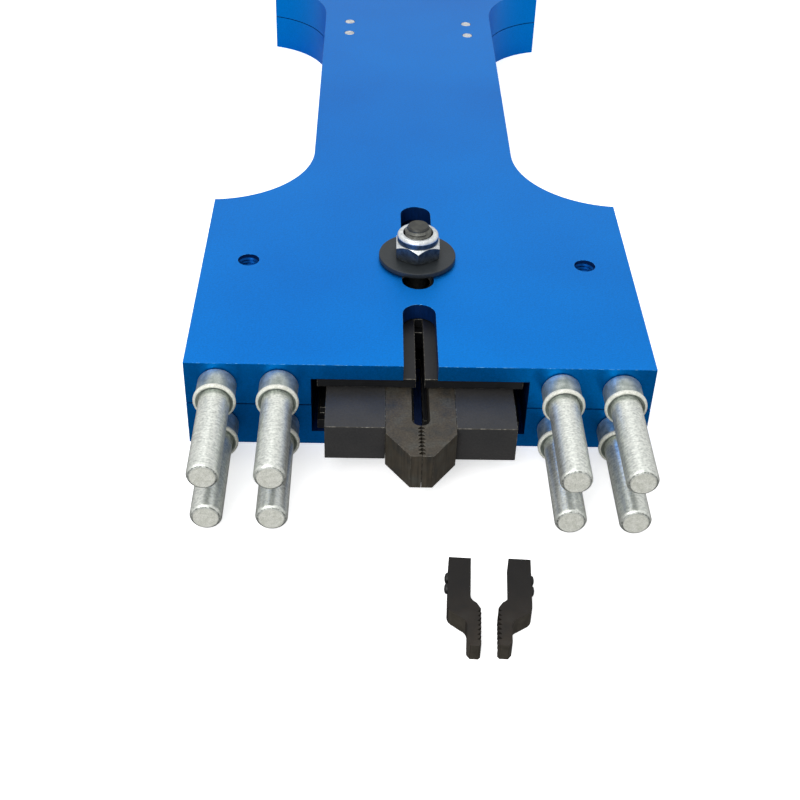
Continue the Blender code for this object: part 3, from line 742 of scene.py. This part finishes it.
left_jaw = mirror_twin(jaw, "left_jaw")
smooth(left_jaw, 50)
fit(jaw, "right_jaw", "jaws", "jaw_right")
fit(left_jaw, "left_jaw", "jaws", "jaw_left")


# --- Jaw carriers, wear plates and slide block --------------------------------------------------------------
# Steel blocks milled all over and blackened: the carriers hold the jaws, the wear plates line the pocket's
# roof and floor, and the slide block drives the carriers. The carriers are a satin black; the wear plates and
# slide block are painted nearly black, as painted shade deep in the pocket. The chamfers of all take the grey
# edge paint, partly wear and partly painted highlight.

# Milled faces under a cold, even black with a faint satin sheen.
carrier_black = finish_metal(
    "black_oxide_milled_steel",
    {"size": 9.0, "detail": 4.0},
    {"size": 0.5, "detail": 2.0},
    ((0.32, "353536"), (0.66, "3c3b3b")),
    (0.48, 0.62),
    metallic=0.3,
    depth_mm=0.04,
)
# Ground faces, tighter in grain and drawn across the slot, painted nearly black: painted shade in the pocket.
pocket_shade_black = finish_metal(
    "black_oxide_steel_painted_pocket_shade",
    {"size": 7.0, "detail": 3.0},
    {"size": 0.4, "detail": 2.0, "stretch": (0.2, 1.0, 1.0)},
    ((0.32, "121316"), (0.66, "18191c")),
    (0.40, 0.55),
    metallic=0.3,
    depth_mm=0.04,
)


def merged_copy(node, name):
    """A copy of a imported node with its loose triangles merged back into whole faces."""
    piece = bpy.data.objects.new(name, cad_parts[node].data.copy())
    scene.collection.objects.link(piece)
    only(piece)
    bpy.ops.object.mode_set(mode="EDIT")
    bpy.ops.mesh.select_all(action="SELECT")
    bpy.ops.mesh.remove_doubles(threshold=0.000005)
    bpy.ops.mesh.dissolve_limited(angle_limit=math.radians(0.5))
    bpy.ops.object.mode_set(mode="OBJECT")
    return piece


MILLED_PARTS = {
    "jaw_carrier_left": ("left_jaw", carrier_black),
    "jaw_carrier_right": ("right_jaw", carrier_black),
    "upper_wear_plate": ("body", pocket_shade_black),
    "lower_wear_plate": ("body", pocket_shade_black),
    "slide_block": ("clamp", pocket_shade_black),
}
# The wear plates and slide block take the painted pocket shade; the chamfers take the grey edge paint, partly
# wear and partly painted highlight.
for node, (body, finish) in MILLED_PARTS.items():
    piece = merged_copy(node, f"{node}_milled")
    wear_finishes(piece, finish, black_edge_wear_and_highlight)
    break_edges(piece, 0.00018)
    fit(piece, body, "black_steel", node)


# --- Clamp bolt, washer and lock nut ------------------------------------------------------------------------
# An M8 bolt blackened all over, a wide black washer, and a zinc-plated lock nut whose crimped collar holds a
# black nylon ring. The bolt comes up through the slide block and the closed slot.

BOLT_AT = (0, 0.055)
BOLT_TOP = 0.0397
THREAD_CORE = 0.0034
THREAD_PITCH = 0.00125
THREAD_DEPTH = 0.00062
THREAD_TURNS = 10
THREAD_END = 0.0011
BOLT_HEAD_LOW = 0.0088
BLOCK_LOW = 0.0137
WASHER_Z = (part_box("clamp_washer")[0][2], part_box("clamp_washer")[1][2])
NUT_Z = (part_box("clamp_nut")[0][2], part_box("clamp_nut")[1][2])
HEX_HIGH = NUT_Z[0] + 0.0048
NUT_CORNER = 0.0065 / math.cos(math.pi / 6)
INSERT_Z = (NUT_Z[0] + 0.0045, NUT_Z[1] - 0.0009)

# A black oxide bolt, dry and faintly warm.
bolt_black = finish_metal(
    "black_oxide_rolled_thread",
    {"size": 1.5, "detail": 4.0},
    {"size": 0.3},
    ((0.35, "3c3d3b"), (0.65, "4c4d48")),
    (0.38, 0.55),
    metallic=0.5,
)
# The thread's ridge is painted paler than the bolt's core: a painted highlight along the crests.
thread_painted_highlight = finish_metal(
    "rolled_thread_painted_crest_highlight",
    {"size": 1.5, "detail": 4.0},
    {"size": 0.3},
    ((0.35, "5c5d59"), (0.65, "777872")),
    (0.28, 0.42),
    metallic=0.7,
)
# A stamped washer: flat satin black with a cold cast.
washer_black = finish_metal(
    "black_oxide_stamped_steel",
    {"size": 6.0, "detail": 4.0},
    {"size": 0.4},
    ((0.35, "2b3033"), (0.65, "34393d")),
    (0.40, 0.55),
    metallic=0.4,
)
# Bright zinc on the crimped collar and the chamfers, almost white under the tent.
bright_zinc = finish_metal(
    "bright_zinc_plate",
    {"size": 1.2, "detail": 3.0},
    {"size": 0.3},
    ((0.35, "d3d9db"), (0.65, "f3f6f6")),
    (0.30, 0.42),
    metallic=0.7,
)
# The flats are painted a dark blue-grey over the same zinc: painted shade and a painted reflection of the
# darker low tent.
shaded_zinc_flats = finish_metal(
    "zinc_flats_painted_shade",
    {"size": 1.5, "detail": 4.0},
    {"size": 0.3},
    ((0.35, "4c5256"), (0.65, "686f73")),
    (0.30, 0.45),
    metallic=0.9,
)
# Dull black nylon that grips the thread.
black_nylon = finish_metal(
    "black_nylon_ring",
    {"size": 1.0},
    {"size": 0.3},
    ((0.35, "141517"), (0.65, "1e2022")),
    (0.45, 0.55),
    metallic=0.0,
)

bolt = turned(
    "m8_clamp_bolt",
    (
        (THREAD_CORE, BLOCK_LOW - 0.001),
        (THREAD_CORE, BOLT_TOP - 0.0008),
        (THREAD_CORE - 0.00025, BOLT_TOP - 0.0003),
        (THREAD_CORE - 0.0005, BOLT_TOP),
    ),
)
smooth(bolt, 40)
settle(bolt, (*BOLT_AT, 0))
thread_low = BOLT_TOP - THREAD_END - THREAD_TURNS * THREAD_PITCH
ridge = thread(
    "bolt_thread", THREAD_CORE + 0.00002, THREAD_PITCH, THREAD_DEPTH, BOLT_AT, thread_low, THREAD_TURNS
)
bolt_head = rod("bolt_head", NUT_CORNER, BOLT_AT, BOLT_HEAD_LOW, BLOCK_LOW - 0.0003, sides=6)
wear_finishes(bolt_head, bolt_black, bolt_black)
break_edges(bolt_head, 0.0005)
# The ridge takes the painted crest highlight.
wear_finishes(ridge, thread_painted_highlight)
wear_finishes(bolt, bolt_black)
join(bolt, ridge, bolt_head)
fit(bolt, "clamp", "black_fasteners", "clamp_bolt")

washer = turned(
    "wide_washer",
    (
        (0.0044, WASHER_Z[0]),
        (0.0115, WASHER_Z[0]),
        (0.0117, WASHER_Z[0] + 0.0003),
        (0.0117, WASHER_Z[1] - 0.0004),
        (0.01158, WASHER_Z[1] - 0.00012),
        (0.0113, WASHER_Z[1]),
        (0.0047, WASHER_Z[1]),
        (0.0044, WASHER_Z[1] - 0.0003),
    ),
    sides=96,
    ring=True,
)
wear_finishes(washer, washer_black)
smooth(washer, 40)
settle(washer, (*BOLT_AT, 0))
fit(washer, "clamp", "black_fasteners", "clamp_washer")

nut = rod("zinc_lock_nut", NUT_CORNER, (0, -FRONT_Y), NUT_Z[0], HEX_HIGH, sides=6)
cone = turned(
    "corner_chamfers",
    (
        (0.00645, NUT_Z[0] - 0.00001),
        (NUT_CORNER + 0.00002, NUT_Z[0] + 0.0006),
        (NUT_CORNER + 0.00002, HEX_HIGH - 0.0011),
        (0.00648, HEX_HIGH + 0.00001),
    ),
    sides=96,
)
machine(nut, cone, "INTERSECT")
collar = turned(
    "crimped_collar",
    (
        (0.00625, HEX_HIGH - 0.0008),
        (0.00625, NUT_Z[1] - 0.0010),
        (0.00615, NUT_Z[1] - 0.0006),
        (0.00590, NUT_Z[1] - 0.0003),
        (0.00555, NUT_Z[1] - 0.0001),
        (0.00505, NUT_Z[1]),
    ),
)
machine(nut, collar, "UNION")
bore = turned(
    "nut_bore",
    (
        (0.0043, NUT_Z[0] - 0.001),
        (0.0043, INSERT_Z[0]),
        (0.0051, INSERT_Z[0] + 0.0001),
        (0.0051, INSERT_Z[1]),
        (0.0045, INSERT_Z[1] + 0.0003),
        (0.0047, NUT_Z[1] + 0.001),
    ),
)
machine(nut, bore)
wear_finishes(nut, bright_zinc, shaded_zinc_flats)
# The upright outer faces, flats and collar wall, take the painted shade.
finish_faces(
    nut,
    1,
    lambda centre, normal: abs(normal.z) < 0.1 and math.hypot(centre.x, centre.y) > 0.0055,
)
smooth(nut, 28)
settle(nut, (*BOLT_AT, 0))
fit(nut, "nut", "zinc", "clamp_nut")

insert = turned(
    "nylon_insert",
    (
        (0.0041, INSERT_Z[0] + 0.0002),
        (0.0050, INSERT_Z[0] + 0.0002),
        (0.0050, INSERT_Z[1] - 0.0001),
        (0.0044, INSERT_Z[1] + 0.0001),
        (0.0041, INSERT_Z[1] - 0.0002),
    ),
    ring=True,
)
wear_finishes(insert, black_nylon)
smooth(insert, 40)
settle(insert, (*BOLT_AT, 0))
fit(insert, "nut", "nylon", "nut_insert")


# --- Plate screws and dowels --------------------------------------------------------------------------------
# Blackened socket-head screws come up from counterbores in the underside and end part-way up the tapped
# holes. Ground dowels locate the two plates, and their bright ends are flush with the neck.

# Ground steel: a clean, nearly white end.
bright_ground = finish_metal(
    "bright_ground_steel",
    {"size": 1.5, "detail": 3.0},
    {"size": 0.3},
    ((0.35, "c9cdd0"), (0.65, "f2f4f5")),
    (0.20, 0.32),
    metallic=0.8,
)
screw_pattern = turned(
    "socket_screw",
    (
        (0.0046, 0.0005),
        (0.0050, 0.0009),
        (0.0050, 0.0060),
        (0.0049, 0.0062),
        (0.0029, 0.0062),
        (0.0029, SCREW_TOP - 0.0004),
        (0.0025, SCREW_TOP),
    ),
)
settle(screw_pattern, (0, -FRONT_Y, 0))
machine(screw_pattern, rod("socket", 0.0029, (0, -FRONT_Y), -0.001, 0.0038, sides=6))
wear_finishes(screw_pattern, bolt_black)
smooth(screw_pattern, 35)
for name, place in PLATE_SCREWS.items():
    screw = placed_copy(screw_pattern, f"{name}_screw", (*place, 0))
    fit(screw, "body", "black_fasteners", f"plate_screw_{name}")
dowel_pattern = turned(
    "dowel",
    (
        (DOWEL_RADIUS - 0.0003, 0.003),
        (DOWEL_RADIUS, 0.0033),
        (DOWEL_RADIUS, BODY_HEIGHT - 0.0002),
        (DOWEL_RADIUS - 0.0002, BODY_HEIGHT),
    ),
    sides=40,
)
wear_finishes(dowel_pattern, bright_ground)
smooth(dowel_pattern, 40)
settle(dowel_pattern, (0, -FRONT_Y, 0))
for name, place in DOWELS.items():
    dowel = placed_copy(dowel_pattern, f"{name}_dowel", (*place, 0))
    fit(dowel, "body", "bright_pins", f"dowel_pin_{name}")
for pattern in (screw_pattern, dowel_pattern):
    bpy.data.objects.remove(pattern)


# --- Spare jaws ---------------------------------------------------------------------------------------------
# A pair of offset jaws for tight places, wire-cut from the same tool steel and left on the bench. Two small
# pins with rounded ends on the shank of each locate it in its carrier.

# Straight from the wire cutter and lightly oxidised: dry, dark and brown.
spare_black = finish_metal(
    "wire_cut_black_oxide",
    {"size": 4.0, "detail": 4.0},
    {"size": 0.4, "detail": 3.0},
    ((0.32, "221d17"), (0.50, "2d251c"), (0.66, "332e27")),
    (0.58, 0.72),
    metallic=0.3,
)
# Faces turned to the front are painted a shade paler: painted light from the front.
spare_front_light = finish_metal(
    "black_oxide_painted_front_light",
    {"size": 3.0, "detail": 4.0},
    {"size": 0.4, "detail": 3.0},
    ((0.32, "3b372f"), (0.66, "4a453d")),
    (0.45, 0.60),
    metallic=0.3,
)
# Small hardened pins, nearly black.
pin_black = finish_metal(
    "black_oxide_locating_pin",
    {"size": 1.0},
    {"size": 0.3},
    ((0.35, "141414"), (0.65, "201f1e")),
    (0.40, 0.55),
    metallic=0.3,
)
# Each jaw's skin is darker towards its rear and left as it is towards the teeth: a slow change along each jaw.
skin = spare_black.node_tree
place_on_bench = add_node(skin, "ShaderNodeTexCoord")
along = add_node(skin, "ShaderNodeSeparateXYZ", links={"Vector": (place_on_bench, "Object")})
ends = {"From Min": FRONT_Y - 0.060, "From Max": FRONT_Y - 0.080}
reach = add_node(skin, "ShaderNodeMapRange", inputs=ends, links={"Value": (along, "Y")})
rear_darkening_ramp = add_node(skin, "ShaderNodeValToRGB", links={"Fac": (reach, "Result")})
fill_ramp(rear_darkening_ramp, [(0.0, linear("6a625c")), (1.0, linear("ffffff"))])
multiply = {"data_type": "RGBA", "blend_type": "MULTIPLY"}
skin_mix = add_node(skin, "ShaderNodeMix", multiply, {"Factor": 1.0})
skin_shader = skin.nodes["Principled BSDF"]
plain = skin_shader.inputs["Base Color"].links[0].from_socket
skin.links.new(plain, skin_mix.inputs[6])
skin.links.new(rear_darkening_ramp.outputs["Color"], skin_mix.inputs[7])
skin.links.new(skin_mix.outputs[2], skin_shader.inputs["Base Color"])

SPARE_PLACES = {"left": (-1, 0.0124), "right": (1, 0.0219)}
SPARE_BACK = -0.050
SPARE_TILT = -3.5
SPARE_STEP = 0.0027
SPARE_SHANK = 0.0057
SPARE_HIGH = 0.005
SPARE_TEETH = (-0.02756, 7)
SPARE_NOTCH = 0.00095
SPARE_PIN_Y = {"front": -0.0087, "rear": -0.0052}
PIN_END = 0.00085


def beside_spare(side, x, y):
    """Where a point of a spare jaw lies on the bench, from its place along the jaw."""
    sign, start = SPARE_PLACES[side]
    tilt = math.radians(SPARE_TILT)
    across = sign * x
    lies = (across * math.cos(tilt) - y * math.sin(tilt), across * math.sin(tilt) + y * math.cos(tilt))
    return start + lies[0], SPARE_BACK + lies[1]


locating_pin = turned(
    "locating_pin",
    (
        (0.0013, -0.0015),
        (0.0014, -0.0014),
        (0.0014, 0.0003),
        (0.0012, 0.0006),
        (0.0008, PIN_END - 0.0001),
        (0.0004, PIN_END),
    ),
    sides=24,
)
wear_finishes(locating_pin, pin_black)
smooth(locating_pin, 50)
for side, (sign, _) in SPARE_PLACES.items():
    piece = merged_copy(f"spare_jaw_{side}", f"{side}_spare_jaw")
    wear_finishes(piece, spare_black, spare_black, spare_front_light)
    # Every face turned to the front takes the paler paint: painted front light.
    finish_faces(
        piece,
        2,
        lambda centre, normal: normal.y < -0.3 and abs(normal.z) < 0.3 and abs(normal.x) < 0.9,
    )
    for tooth in range(SPARE_TEETH[1]):
        centre = notch_centre(SPARE_NOTCH - SPARE_STEP, SPARE_TEETH[0], tooth)
        notch = rod("tooth_cutter", NOTCH_RADIUS, (0, -FRONT_Y), -0.002, SPARE_HIGH + 0.002, sides=3)
        settle(notch, (*beside_spare(side, *centre), 0), (0, 0, sign * NOTCH_LEAN + SPARE_TILT))
        machine(piece, notch)
    break_edges(piece, 0.00008)
    fit(piece, f"{side}_spare", "jaws", f"spare_jaw_{side}")
    for place, y in SPARE_PIN_Y.items():
        seat = (*beside_spare(side, SPARE_SHANK, y), SPARE_HIGH / 2)
        pin = placed_copy(locating_pin, f"{side}_spare_{place}_pin", seat, (0, sign * 90, SPARE_TILT))
        fit(pin, f"{side}_spare", "black_steel", f"spare_jaw_{side}_pin_{place}")
bpy.data.objects.remove(locating_pin)


# --- Hidden pins and screws ---------------------------------------------------------------------------------
# The wear plates' screws, the cam pins and the mounted jaws' locating pins are plain turned steel; they keep
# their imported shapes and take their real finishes.

for name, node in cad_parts.items():
    if name.startswith("cam_pin"):
        wear_finishes(node, bright_ground)
    elif name.startswith("wear_screw"):
        wear_finishes(node, bolt_black)
    elif name.startswith("jaw_pin"):
        wear_finishes(node, pin_black)
